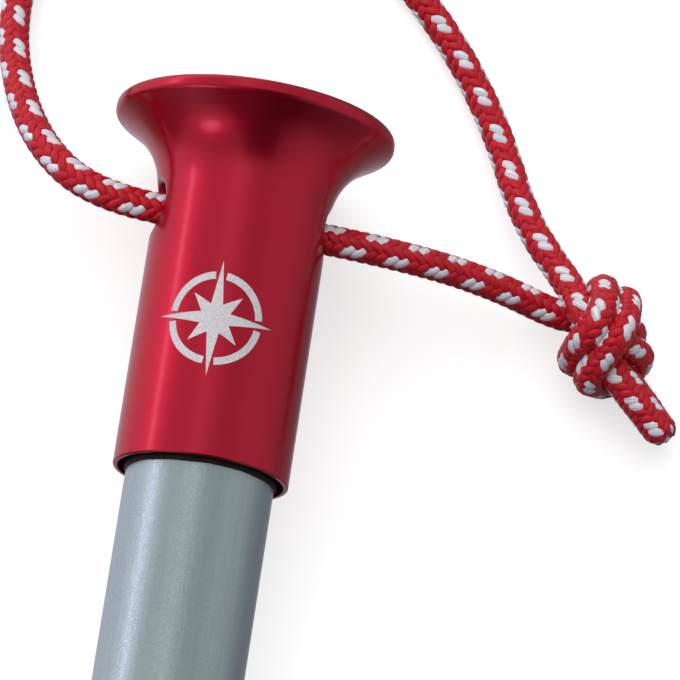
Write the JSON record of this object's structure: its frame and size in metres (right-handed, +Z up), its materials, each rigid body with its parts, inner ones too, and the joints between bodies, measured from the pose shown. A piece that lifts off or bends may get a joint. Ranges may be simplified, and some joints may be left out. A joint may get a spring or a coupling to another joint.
{
  "type": "tent stake",
  "caption": "Round tubular tent stake with a flared hammering head, a turned point, and a knotted braided cord loop through a cross hole in the head.",
  "frame": {"origin": "centre of the lying stake's footprint, on the ground, the cord left out", "axes": "+Y from the point toward the head, +Z up; the stake lies on the rim of its head and on the shoulder of its point, so its own axis climbs 1.7 degrees toward the head; the cross hole lies along X"},
  "size_m": [0.0461, 0.1722, 0.0172],
  "materials": {
    "head_anodised": "satin red anodised, machined",
    "shaft_alloy": "satin grey-green, drawn lengthwise",
    "tip_alloy": "turned and lightly worn",
    "adhesive": "cured epoxy film",
    "cord_braid": "braided red yarn with reflective white tracers"
  },
  "bodies": {
    "stake": {"head": "head_anodised", "shaft_tube": "shaft_alloy", "ground_tip": "tip_alloy", "head_adhesive": "adhesive", "tip_adhesive": "adhesive"},
    "pull_loop": {"pull_cord": "cord_braid", "cord_knot": "cord_braid", "tail_upper": "cord_braid", "tail_lower": "cord_braid"}
  },
  "joints": [
    {"name": "loop_swing", "type": "hinge", "parent": "stake", "child": "pull_loop", "pos_m": [0, 0.06891, 0.00842], "axis": [1, 0, 0], "range_deg": [-145, 180]}
  ]
}
